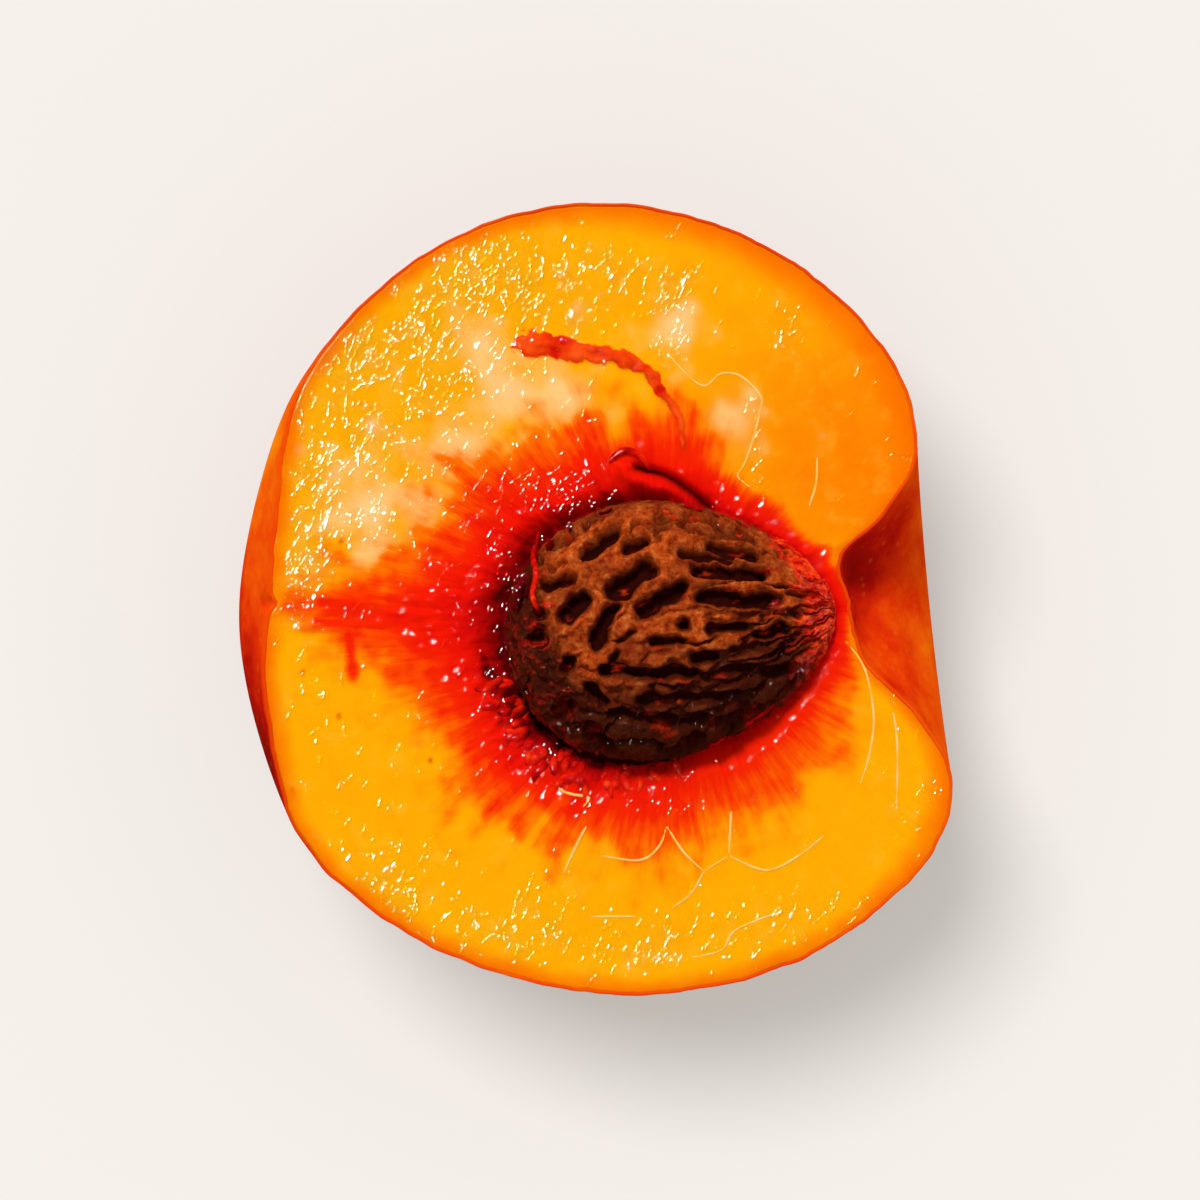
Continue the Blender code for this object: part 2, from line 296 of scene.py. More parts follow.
def cut_surface(x, y):
    """The height of the cut in mm at each place, what colours it there, and how far it is from the hollow."""
    heading = np.arctan2(y - STONE_CENTRE[1], x - STONE_CENTRE[0])
    radius = np.hypot(x - STONE_CENTRE[0], y - STONE_CENTRE[1])
    from_hollow = radius - hollow_reach(heading)
    from_skin = skin_reach(heading) - radius
    flat = np.column_stack([x, y, 0 * x])

    # The red stain runs out from the stone in fibres, furthest along the line to the blossom end.
    streaky = lumps(fibre_places(heading, from_hollow, 5), 2.2, 1, 3)
    fine = lumps(fibre_places(heading, from_hollow, 9), 0.5, 2, 2)
    cloudy = lumps(flat, 2.6, 10, 3)
    axis_streak = 5.5 * bump_at(angle_between(heading, math.radians(176)), 0.09)
    reach = round_stone(RED_REACH, heading) + axis_streak
    from_stone = np.minimum(from_hollow, np.clip(radius - stone_reach(heading), 0, None))
    out = from_stone / reach * (1 + 0.22 * streaky + 0.28 * cloudy) + 0.07 * fine
    stain = 0.5 * (1 - smoothstep(0.0, 1.3, out)) + 0.5 * np.clip(1 - out / 1.6, 0, 1)
    strongly = round_stone(RED_STRENGTH, heading)
    stain *= strongly + (1 - strongly) * bump_at(from_stone, 0.8)

    # The flesh falls away towards the hollow, and is crumpled where it was torn off the stone.
    fall_width = round_stone(FALL_WIDTH, heading) * (1 + 0.2 * streaky)
    fallen = 1 - smoothstep(0.0, 1.0, from_hollow / fall_width)
    height = -round_stone(FALL_DEPTH, heading) * fallen
    # Where it falls away towards the hollow it is painted dark as shade.
    deep = fallen * round_stone(FALL_SHADE, heading)
    height += 0.22 * lumps(flat, 11, 4)
    crumpled = lumps(flat, 1.1, 18, 3)
    height += smoothstep(0.3, 0.95, stain) * (0.1 * fine + 0.1 * streaky + 0.2 * crumpled)
    open_side = smoothstep(0.2, 0.9, round_stone(GAP, heading))
    near_rim = np.exp(-np.clip(from_hollow, 0, None) / 1.6) * (0.35 + 0.65 * open_side)
    height += 1.1 * near_rim * lumps(flat, 1.3, 15, 3)
    height += 0.5 * near_rim * open_side * lumps(fibre_places(heading, from_hollow, 3), 1.0, 24, 2)

    # Where the cut is wet, the torn cells stand up in short slanting rows.
    wet = np.zeros(x.shape)
    for px, py, half_x, half_y, groups in WET_PATCHES:
        thickly = min(groups / (half_x * half_y) / 6, 1.0)
        here = thickly * np.exp(-0.4 * ((x - px) / half_x) ** 2 - 0.4 * ((y - py) / half_y) ** 2)
        wet = np.maximum(wet, here)
    wet = np.clip(wet * (1 + 0.8 * lumps(flat, 1.6, 19, 2)), 0, 1)
    lengthwise, across = turned(x, y, -GRAIN_LEAN)
    cells = lumps(np.column_stack([lengthwise / 2.2, across, 0 * x]), 0.75, 5, 3)
    height += (0.015 + 0.045 * wet) * cells

    # At the tip the red flesh comes up round the stone in a low crumpled lip.
    stone_top = smooth_stone_top(x, y)
    lip = np.minimum(stone_top, 1.2) - 0.3 + 0.4 * crumpled
    height = np.where(stone_top > 0.3, np.maximum(height, lip), height)

    # The torn split stands up in crumbs, and the slit is a furrow behind a raised lip, painted dark inside as
    # shade.
    split_off, split_share, _ = off_line(x, y, SPLIT)
    crumbly = lumps(flat, 0.9, 7, 3)
    split_width = np.maximum(1.0 - 0.95 * split_share, 0.28) * (1 + 0.5 * lumps(flat, 1.6, 20, 2))
    split = 1 - smoothstep(0.75, 1.25, split_off / split_width + 0.9 * crumbly)
    height += split * (0.3 + 0.4 * crumbly)
    slit_off, _, slit_side = off_line(x, y, SLIT)
    slit = bump_at(slit_off, 0.42)
    height += 1.0 * bump_at(slit_off - 1.1, 0.8) * (slit_side < 0) - 1.5 * slit
    deep = np.maximum(deep, 0.9 * slit)

    # Round the stone's blunt end the flesh is painted dark as shade down by the hollow, and past it the cut
    # is creased to the dried tip.
    blunt_side = bump_at(angle_between(heading, math.radians(190)), math.radians(75))
    blunt_end_shade = 1 - smoothstep(1.0, 3.4, from_hollow + 1.5 * crumpled + 0.6 * crumbly)
    deep = np.maximum(deep, 0.95 * blunt_end_shade * blunt_side)
    crease = lumps(np.column_stack([x / 7, y, 0 * x]), 0.55, 8, 2)
    creased = bump_at(y + 1.0, 2.6) * smoothstep(-9, -14, x) * smoothstep(-29.5, -27.0, x)
    height += 0.16 * creased * crease

    streak = np.zeros(x.shape)
    for line, width in STREAKS:
        off, _, _ = off_line(x, y, line)
        streak = np.maximum(streak, bump_at(off + 0.2 * crease, width))
    stain = np.maximum(stain, 0.52 * streak)
    stain = np.maximum(stain, (0.6 + 0.25 * crumpled) * smoothstep(0.1, 0.6, stone_top))
    stain = np.clip(stain + 0.12 * creased * (crease + 0.8), 0, 1)

    pale = np.zeros(x.shape)
    blotch = lumps(flat, 2.5, 9, 2)
    for px, py, spread in PALE_PATCHES:
        pale = np.maximum(pale, bump_at(np.hypot(x - px, y - py) * (1 + 0.8 * blotch), spread))

    fleck = np.zeros(x.shape)
    for px, py in FLECKS:
        fleck = np.maximum(fleck, bump_at(np.hypot(x - px, y - py), 0.22))

    edge = 1 - smoothstep(0.0, 2.2 + 1.8 * smoothstep(4.0, 30.0, x + 0.5 * y), from_skin + 0.5 * blotch)
    height = height * smoothstep(-0.5, 4.0, from_skin) - 0.02
    ripe = np.clip(bump_at(np.hypot(x - 23, y - 12), 13) + 0.35 * edge + 0.15 * blotch, 0, 1)
    stain = np.maximum(stain, 0.8 * split)
    wet = wet * (1 - 0.8 * split)
    amounts = {
        "stain": stain, "deep": deep, "torn": split, "pale": pale, "edge": edge, "ripe": ripe, "fleck": fleck,
        "wet": wet,
    }
    return height, amounts, from_hollow


def bowl_points(heading, up):
    """The wall of the hollow: up from 0 at its bottom to 1 at the foot of the cut."""
    rim = hollow_reach(heading)
    x = STONE_CENTRE[0] + rim * np.sin(up * math.pi / 2) * np.cos(heading)
    y = STONE_CENTRE[1] + rim * np.sin(up * math.pi / 2) * np.sin(heading)
    rim_height, _, _ = cut_surface(
        STONE_CENTRE[0] + rim * np.cos(heading), STONE_CENTRE[1] + rim * np.sin(heading))
    floor = -STONE_HALF_HEIGHT - UNDER_STONE
    return x, y, rim_height + (floor - rim_height) * np.cos(up * math.pi / 2)


def lining_points(heading, down):
    """The inside of the skin: down from 0 at the cut to 1 under the stone."""
    edge = skin_reach(heading) - SKIN_THICKNESS + TUCKED_IN
    x = STONE_CENTRE[0] + edge * np.cos(down * math.pi / 2) * np.cos(heading)
    y = STONE_CENTRE[1] + edge * np.cos(down * math.pi / 2) * np.sin(heading)
    return x, y, -0.12 - (CHEEK_DEPTH - LINING_RISE) * np.sin(down * math.pi / 2)


def write_amounts(bm, amounts):
    """Puts an amount of each kind on every vertex, as attributes that the materials read."""
    for name, values in amounts.items():
        layer = bm.verts.layers.float.new(name)
        for v, value in zip(bm.verts, values):
            v[layer] = value


def write_points(bm, points, amounts, places=None):
    """Puts the vertices at these points in mm of the half, with their amounts and places along a fibre."""
    for v, point in zip(bm.verts, (points + SEAT) * MM):
        v.co = point
    write_amounts(bm, amounts)
    if places is not None:
        layer = bm.verts.layers.float_vector.new("fibre_place")
        for v, place in zip(bm.verts, places):
            v[layer] = place


def in_scene(name, data):
    """A new object with this data, in the scene."""
    made = bpy.data.objects.new(name, data)
    bpy.context.scene.collection.objects.link(made)
    return made


def finish_piece(name, bm, material, replaced=None):
    """The mesh as a finished object, and in place of a CAD node if one is given."""
    bmesh.ops.remove_doubles(bm, verts=bm.verts, dist=0.002 * MM)
    bmesh.ops.recalc_face_normals(bm, faces=bm.faces)
    mesh = bpy.data.meshes.new(name)
    bm.to_mesh(mesh)
    bm.free()
    mesh.shade_smooth()
    mesh.materials.append(material)
    piece = in_scene(name, mesh)
    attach(piece, "root")
    if replaced:
        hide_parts(replaced)
    return piece


def flesh_mesh():
    """A grid wrapped round the stone: up the hollow, out over the cut, and down inside the skin."""
    rows = IN_HOLLOW + ON_CUT + UNDER_SKIN
    bm = bmesh.new()
    bmesh.ops.create_grid(bm, x_segments=AROUND, y_segments=rows, size=0.5)
    uv = np.array([v.co[:2] for v in bm.verts]) + 0.5
    heading = uv[:, 0] * math.tau
    row = np.rint(uv[:, 1] * rows)

    across = np.clip((row - IN_HOLLOW) / ON_CUT, 0, 1)
    rim = hollow_reach(heading)
    edge = skin_reach(heading) - SKIN_THICKNESS + TUCKED_IN
    radius = rim + (edge - rim) * across
    x = STONE_CENTRE[0] + radius * np.cos(heading)
    y = STONE_CENTRE[1] + radius * np.sin(heading)
    z, amounts, from_hollow = cut_surface(x, y)

    bowl = row < IN_HOLLOW
    bx, by, bz = bowl_points(heading[bowl], row[bowl] / IN_HOLLOW)
    x[bowl], y[bowl], z[bowl] = bx, by, bz
    from_hollow[bowl] = bz
    # The wall of the hollow is painted in shade, darker towards its bottom.
    in_shade = 1 - smoothstep(0.55, 1.0, row[bowl] / IN_HOLLOW)
    amounts["deep"][bowl] = np.maximum(amounts["deep"][bowl], in_shade)
    under = row > IN_HOLLOW + ON_CUT
    ux, uy, uz = lining_points(heading[under], (row[under] - IN_HOLLOW - ON_CUT) / UNDER_SKIN)
    x[under], y[under], z[under] = ux, uy, uz

    write_points(bm, np.column_stack([x, y, z]), amounts, fibre_places(heading, from_hollow, 1))
    return bm


def linear(hex_colour):
    """An sRGB hex colour as linear RGBA."""
    channels = [int(hex_colour[i:i + 2], 16) / 255 for i in (0, 2, 4)]
    return [c / 12.92 if c <= 0.04045 else ((c + 0.055) / 1.055) ** 2.4 for c in channels] + [1.0]


def set_inputs(node, inputs):
    """Links each of these inputs of a node to a socket or sets it to a value, where text is a hex colour."""
    for key, value in inputs.items():
        if isinstance(value, bpy.types.NodeSocket):
            node.id_data.links.new(value, node.inputs[key])
        else:
            node.inputs[key].default_value = linear(value) if isinstance(value, str) else value


def add_node(owner, kind, inputs=None, stops=(), out=0, **settings):
    """Adds a node with its settings, inputs and ramp stops to a material or world, and gives one output."""
    node = owner.node_tree.nodes.new("ShaderNode" + kind)
    for key, value in settings.items():
        setattr(node, key, value)
    set_inputs(node, inputs or {})
    for _ in stops[2:]:
        node.color_ramp.elements.new(0.5)
    for k, (place, colour) in enumerate(stops):
        node.color_ramp.elements[k].position = place
        node.color_ramp.elements[k].color = linear(colour)
    return node.outputs[out]


def new_material(name, **values):
    """A material of this name, its shader with these values set, and what adds a node to the material."""
    material = bpy.data.materials.new(name)
    material.use_nodes = True
    shader = material.node_tree.nodes["Principled BSDF"]
    set_inputs(shader, {key.replace("_", " "): value for key, value in values.items()})
    return material, shader, partial(add_node, material)


def peach_flesh(name, glow, ripple, film_on_red):
    """Ripe yellow peach flesh: translucent, so light spreads in it, under a thin film of juice.

    The film is rippled this high in mm, and it covers this share of the flesh where that is torn and red.
    Where no light spreads in it, a faint glow of its own colour stands for the light that would come through.
    """
    material, shader, node = new_material(
        name, Roughness=0.5, IOR=1.36, Specular_IOR_Level=0.0, Coat_Roughness=0.035, Coat_IOR=1.33,
        Subsurface_Weight=glow, Subsurface_Scale=0.0012, Subsurface_Radius=(1.0, 0.35, 0.06),
        Emission_Strength=0.0 if glow else 0.3)
    place = node("TexCoord", out="Object")
    stain, deep, torn, pale, edge, ripe, fleck, wet = (
        node("Attribute", out="Fac", attribute_name=key)
        for key in ("stain", "deep", "torn", "pale", "edge", "ripe", "fleck", "wet")
    )
    fibre_place = node("Attribute", out="Vector", attribute_name="fibre_place")

    # The red stain is broken up by fibres that run out from the stone and show only where there is some red.
    long_fibre = node("Mapping", {"Vector": fibre_place, "Scale": (1.0, 1.0, 0.12)})
    streaks = node("TexNoise", {"Vector": long_fibre, "Scale": 2.6, "Detail": 5.0, "Roughness": 0.6})
    centred = node("Math", {0: streaks, 1: 0.5}, operation="SUBTRACT")
    strength = node("MapRange", {"Value": stain, "From Min": 0.02, "From Max": 0.3, "To Max": 0.45})
    shift = node("Math", {0: centred, 1: strength}, operation="MULTIPLY")
    redness = node("Math", {0: stain, 1: shift}, operation="ADD")
    how_red = node("MapRange", {"Value": redness, "From Max": 0.2})
    reds = node("ValToRGB", {"Fac": redness}, [
        (0.0, "ffa002"), (0.18, "fe7e02"), (0.34, "fb5002"), (0.5, "f42803"), (0.68, "f01a04"),
        (0.86, "e41006"), (1.0, "cc080a")])

    # Yellow flesh: riper and more orange by the stem, paler in clouds, with red flecks and an orange rim.
    # Over it come the red, the painted shade down in the hollow, in the slit and round the blunt end, and the
    # raw strip where it was torn.
    clouds = node("TexNoise", {"Vector": place, "Scale": 1 / (2.2 * MM), "Detail": 4.0})
    cloudy = node("MapRange", {"Value": clouds, "From Min": 0.55, "From Max": 0.8, "To Max": 0.35})
    sunk = node("Math", {0: deep, 1: 1.8}, operation="POWER")
    raw = node("ValToRGB", {"Fac": clouds}, [(0.35, "d81a06"), (0.6, "f85410")])
    colour = "ffae03"
    for amount, over in (
            (ripe, "fe8401"), (cloudy, "ffc235"), (pale, "fdcb84"), (fleck, "d81400"), (edge, "fb7200"),
            (how_red, reds), (sunk, "4c0408"), (torn, raw)):
        colour = node("Mix", {0: amount, 6: colour, 7: over}, out=2, data_type="RGBA")

    # Torn cells hold the juice in short slanting ripples, which stand in clusters where the cut is wet
    # and everywhere on the red flesh that was torn off the stone. Real cells are finer than this, but finer
    # ripples would not show.
    leaning = node(
        "Mapping", {"Vector": place, "Rotation": (0.0, 0.0, GRAIN_LEAN), "Scale": (2.0, 1.0, 1.0)},
        vector_type="TEXTURE")
    ripples = node("TexNoise", {"Vector": leaning, "Scale": 1 / (0.34 * MM), "Detail": 1.0})
    clusters = node("TexNoise", {"Vector": leaning, "Scale": 1 / (0.6 * MM), "Detail": 2.0, "Roughness": 0.6})
    in_cluster = node("MapRange", {"Value": clusters, "From Min": 0.46, "From Max": 0.6, "To Min": 0.06})
    torn_wet = node("MapRange", {"Value": stain, "From Min": 0.3, "From Max": 0.7, "To Max": 0.5})
    wetness = node("Math", {0: wet, 1: torn_wet}, operation="MAXIMUM")
    rippled = node("Math", {0: wetness, 1: in_cluster}, operation="MULTIPLY")
    film = node("Bump", {"Height": ripples, "Strength": rippled, "Distance": ripple * MM})
    thinner = node(
        "MapRange", {"Value": stain, "From Min": 0.3, "From Max": 0.8, "To Min": 1.0, "To Max": film_on_red})
    inside = node(
        "MapRange", {"Value": edge, "From Min": 0.4, "From Max": 0.95, "To Min": 1.0, "To Max": 0.15})
    cover = node("Math", {0: thinner, 1: inside}, operation="MINIMUM")
    fibres = node("Bump", {"Height": streaks, "Strength": 0.4, "Distance": 0.15 * MM})
    set_inputs(shader, {
        "Base Color": colour, "Emission Color": colour, "Normal": fibres, "Coat Normal": film,
        "Coat Weight": cover})
    return material


flesh = finish_piece(
    "cut_flesh", flesh_mesh(), peach_flesh("ripe_peach_flesh", 0.3, 0.15, 0.04), "flesh")


# ---------------------------------------------------------------------------------------------------------
# The skin: a thin, downy, red-blushed peel over the yellow cheek, cut through with the flesh.
# It is a shell 0.3 mm thick, so the cut shows its edge as a fine line all round.

SKIN_LENGTHWISE = 240
SKIN_CROSSWISE = 110
# Where the sun reddened it most: middle and spread in mm of the half, and how much. The first, on the low
# blossom-end cheek, is partly blush and partly painted shade.
BLUSHES = [
    ((-32, -15, -9), 14, 0.8), ((23, 4, -3), 6, 0.4), ((27, -6, -5), 6, 0.18),
    ((-20, 26, -4), 10, 0.25), ((0, -30, -22), 20, 0.2), ((-28, 12, -8), 8, -0.1),
]


def skin_mesh():
    bm = bmesh.new()
    bmesh.ops.create_grid(bm, x_segments=SKIN_LENGTHWISE, y_segments=SKIN_CROSSWISE, size=0.5)
    uv = np.array([v.co[:2] for v in bm.verts]) + 0.5
    points = cheek_points(uv[:, 0], uv[:, 1] * math.pi)
    off = points[:, :2] - np.array(STONE_CENTRE)
    outward = off / np.linalg.norm(off, axis=1)[:, None]
    at_rim = 1 - smoothstep(0.0, 3.0, -points[:, 2])
    points[:, :2] += outward * (at_rim * rim_stray(np.arctan2(off[:, 1], off[:, 0])))[:, None]
    blush_and_shade = 0.38 + 0.28 * lumps(points, 24, 21, 4)
    for middle, spread, amount in BLUSHES:
        blush_and_shade += amount * bump_at(np.linalg.norm(points - np.array(middle), axis=1), spread)
    write_points(bm, points, {"blush_and_shade": blush_and_shade})
    return bm


def peach_skin():
    """Peach peel: a red blush over yellow-orange, freckled with tiny pale pores, dulled by short down."""
    material, shader, node = new_material(
        "downy_peach_skin", Roughness=0.65, IOR=1.4, Specular_IOR_Level=0.0, Sheen_Weight=0.02,
        Sheen_Roughness=0.4, Sheen_Tint="ff5a1a")
    place = node("TexCoord", out="Object")
    blush_and_shade = node("Attribute", out="Fac", attribute_name="blush_and_shade")
    mottle = node("TexNoise", {"Vector": place, "Scale": 1 / (4 * MM), "Detail": 6.0, "Roughness": 0.65})
    spread = node(
        "MapRange", {"Value": mottle, "From Min": 0.25, "From Max": 0.75, "To Min": -0.16, "To Max": 0.16})
    mottled = node("Math", {0: blush_and_shade, 1: spread}, operation="ADD")
    colour = node("ValToRGB", {"Fac": mottled}, [
        (0.1, "fb8a08"), (0.3, "f45c08"), (0.5, "e23206"), (0.7, "bc1408"), (0.95, "880a0a")])
    pores = node("TexVoronoi", {"Vector": place, "Scale": 1 / (1.5 * MM)})
    freckle = node(
        "MapRange", {"Value": pores, "From Min": 0.05, "From Max": 0.22, "To Min": 0.15, "To Max": 0.0})
    # The cut edge of the peel is more orange than its outside.
    height = node("SeparateXYZ", {"Vector": place}, out="Z")
    at_cut = node(
        "MapRange",
        {"Value": height, "From Min": (SEAT[2] - 0.8) * MM, "From Max": (SEAT[2] - 0.05) * MM, "To Max": 0.7})
    for amount, over in ((freckle, "f78a2c"), (at_cut, "ee4a04")):
        colour = node("Mix", {0: amount, 6: colour, 7: over}, out=2, data_type="RGBA")
    down = node("TexNoise", {"Vector": place, "Scale": 1 / (0.4 * MM), "Detail": 3.0})
    soft = node("Bump", {"Height": down, "Strength": 0.35, "Distance": 0.1 * MM})
    set_inputs(shader, {"Base Color": colour, "Normal": soft})
    return material


skin = finish_piece("skin", skin_mesh(), peach_skin())
shell = skin.modifiers.new("thickness", "SOLIDIFY")
shell.thickness = SKIN_THICKNESS * MM
shell.offset = -1.0


# ---------------------------------------------------------------------------------------------------------
# The stone: hard red-brown wood, pointed at the stem end, worn into deep furrows and pits between crooked
# ridges. Torn flesh is grown to it, bright red over the tip, and painted maroon as shade along the low side
# and blunt end.

STONE_RINGS = 330
STONE_SIDES = 290
SIDES_CROWDED_UP = 0.4
FURROW_DEPTH = 1.45
DEEPEST_FURROW = 2.4
CHANNEL_DEPTH = 1.1
TISSUE_HEIGHT = 0.5
# Place along the stone, place across it, length, width, turn in degrees.
FURROWS = [
    (-5.3, 8.5, 4.4, 1.4, 38), (-2.4, 7.9, 2.5, 1.3, 8), (-3.0, 4.8, 5.2, 1.9, 30),
    (-8.2, 2.9, 3.6, 1.9, 43), (-6.0, 1.0, 4.6, 1.5, 61), (-0.7, 2.7, 5.4, 1.8, 23),
    (-9.3, 5.5, 3.2, 1.2, 3), (-12.9, 4.8, 3.2, 1.6, 58), (-11.1, 2.7, 1.2, 1.2, 0),
    (-11.6, 0.7, 1.8, 1.5, 60), (-0.6, -1.2, 3.6, 1.0, -7), (1.0, 0.4, 1.3, 1.2, 0),
    (-4.1, -0.2, 2.5, 0.8, 28), (-5.4, -2.3, 1.6, 1.0, 68), (3.7, 6.2, 4.8, 1.1, -12),
    (5.9, 6.5, 5.2, 1.2, -22), (5.6, 4.4, 7.2, 1.4, -12), (6.1, 1.9, 7.6, 1.5, -12),
    (4.7, -0.5, 3.9, 1.2, -2), (9.6, 0.1, 4.2, 0.9, -2), (8.4, -1.5, 3.8, 1.2, 8),
    (6.1, -2.6, 3.7, 0.9, 1), (2.5, -2.9, 2.6, 1.2, -7), (10.2, -2.4, 2.6, 0.8, 33),
    (-2.4, -3.6, 9.0, 1.3, -9), (4.3, -4.5, 5.2, 1.0, 0), (8.9, -5.0, 3.6, 1.2, 3),
    (1.0, -6.4, 9.6, 1.1, -7), (-7.3, -5.0, 2.8, 1.3, -57), (-3.4, -7.6, 6.4, 1.2, -15),
    (3.4, -8.7, 7.4, 1.1, -2), (-10.2, -6.1, 2.2, 2.0, 0), (-9.4, -2.2, 1.8, 1.4, 80),
    (-7.2, -9.5, 4.2, 1.4, -57), (-0.1, -10.6, 3.4, 1.1, 23), (11.5, 1.6, 3.0, 0.7, -14),
]


def smooth_stone(sphere):
    """Unit sphere points, poles along X, moved to the stone's smooth form in its own axes, keel at z = 0."""
    half_width = stone_half_width((sphere[:, 0] + 1) / 2)
    half_height = half_width * STONE_HALF_HEIGHT / STONE_HALF_WIDTH
    from_top = np.arctan2(-sphere[:, 1], sphere[:, 2])
    turn = math.pi / 2 + from_top - SIDES_CROWDED_UP * np.sin(from_top)
    across = (np.abs(np.cos(turn)) / np.maximum(half_width, 1e-6)) ** KEEL_POWER
    upward = (np.abs(np.sin(turn)) / np.maximum(half_height, 1e-6)) ** KEEL_POWER
    radius = (across + upward) ** (-1 / KEEL_POWER)
    return np.column_stack([sphere[:, 0] * STONE_LENGTH / 2, radius * np.cos(turn), radius * np.sin(turn)])


def furrow_depths(x, y):
    deepest = np.zeros(x.shape)
    for middle_x, middle_y, length, width, turn in FURROWS:
        lengthwise, across = turned(x - middle_x, y - middle_y, -math.radians(turn))
        past_end = np.clip(np.abs(lengthwise) - (length - width) / 2, 0, None)
        off = np.hypot(past_end, across) / (width / 2)
        depth = min(FURROW_DEPTH * width, DEEPEST_FURROW)
        deepest = np.maximum(deepest, depth * (1 - smoothstep(0.3, 1.5, off)))
    return deepest


def winding_channels(x, y):
    """Depth in mm of the small furrows that wander between the named ones and run together at the tip."""
    spread = y / np.maximum(stone_half_width(x / STONE_LENGTH + 0.5), 2.0) * STONE_HALF_WIDTH
    across = y + (spread - y) * smoothstep(-4.0, 8.0, x)
    across = across * (1 + 0.35 * smoothstep(2.0, 8.0, 0.3 * x - y))
    lengthwise = np.where(x < 0, x / 1.4, x / 3.2)
    crease = np.abs(lumps(np.column_stack([lengthwise, across, 0 * x]), 1.9, 22, 2))
    from_edge = 1 - np.abs(y) / np.maximum(stone_half_width(x / STONE_LENGTH + 0.5), 0.5)
    worn = np.maximum(smoothstep(-2.0, 6.0, x - y), 1 - smoothstep(0.1, 0.4, from_edge))
    return CHANNEL_DEPTH * (0.45 + 0.55 * worn) * (1 - smoothstep(0.03, 0.26, crease))


def stone_mesh():
    bm = bmesh.new()
    bmesh.ops.create_uvsphere(bm, u_segments=STONE_SIDES, v_segments=STONE_RINGS, radius=1.0)
    bmesh.ops.rotate(bm, verts=bm.verts, matrix=Matrix.Rotation(math.pi / 2, 3, "Y"))
    points = smooth_stone(np.array([v.co for v in bm.verts]))
    x, y, z = points.T
    crooked_x = x + 0.5 * lumps(points, 1.9, 11, 3)
    crooked_y = y + 0.4 * lumps(points, 1.7, 12, 3)
    furrow = np.maximum(furrow_depths(crooked_x, crooked_y), winding_channels(crooked_x, crooked_y))
    furrow *= smoothstep(0.02, 0.2, np.abs(z) / STONE_HALF_HEIGHT)
    grain = lumps(points, 0.8, 13, 4)
    size = np.hypot(y, z)
    inward = -np.column_stack([0 * x, 0.4 * y, z])
    inward /= np.maximum(np.linalg.norm(inward, axis=1), 1e-6)[:, None]
    sink = np.minimum(furrow, 0.5 * size) + 0.2 * grain * smoothstep(0.0, 1.5, size)
    points = points + inward * sink[:, None]
    # The low side, the lower right and the blunt end are damp, and they are also painted dark as shade.
    low = 1 - smoothstep(0.0, 0.8, z / STONE_HALF_HEIGHT)
    low = low * (1 - 0.5 * smoothstep(0.0, 8.0, y)) + 0.8 * smoothstep(0.0, 6.0, 0.25 * x - y)
    low = low + 0.9 * smoothstep(-7.5, -12.0, x + 0.3 * y)
    tip = smoothstep(0.55, 0.95, x / (STONE_LENGTH / 2))
    low = low * (1 - 0.75 * tip)
    # Torn flesh covers the tip, runs back in the furrows and along both edges, and stands a little proud.
    drawn_out = points / np.array([3.0, 1.0, 1.0])
    running = lumps(drawn_out, 0.9, 14, 3)
    along_edge = (1 - smoothstep(0.1, 0.5, z / STONE_HALF_HEIGHT)) * smoothstep(2.0, 10.0, x)
    shreds = 1.5 * running - 1.1 + 2.0 * tip + 0.9 * along_edge + 0.2 * low
    shreds += 0.5 * smoothstep(0.1, 0.8, furrow)
    shreds += 0.9 * smoothstep(-8.5, -13.0, x + 0.3 * y)
    shreds = np.clip(shreds, 0, 1)
    ragged = 0.7 + 0.6 * lumps(drawn_out, 0.45, 25, 3)
    proud = TISSUE_HEIGHT * shreds * ragged * smoothstep(0.0, 1.5, size)
    points = points - inward * proud[:, None]
    points[:, 0], points[:, 1] = turned(points[:, 0], points[:, 1], STONE_TURN)
    points[:, :2] += np.array(STONE_CENTRE)
    write_points(bm, points, {"furrow": furrow / DEEPEST_FURROW, "low": low, "shreds": shreds})
    return bm


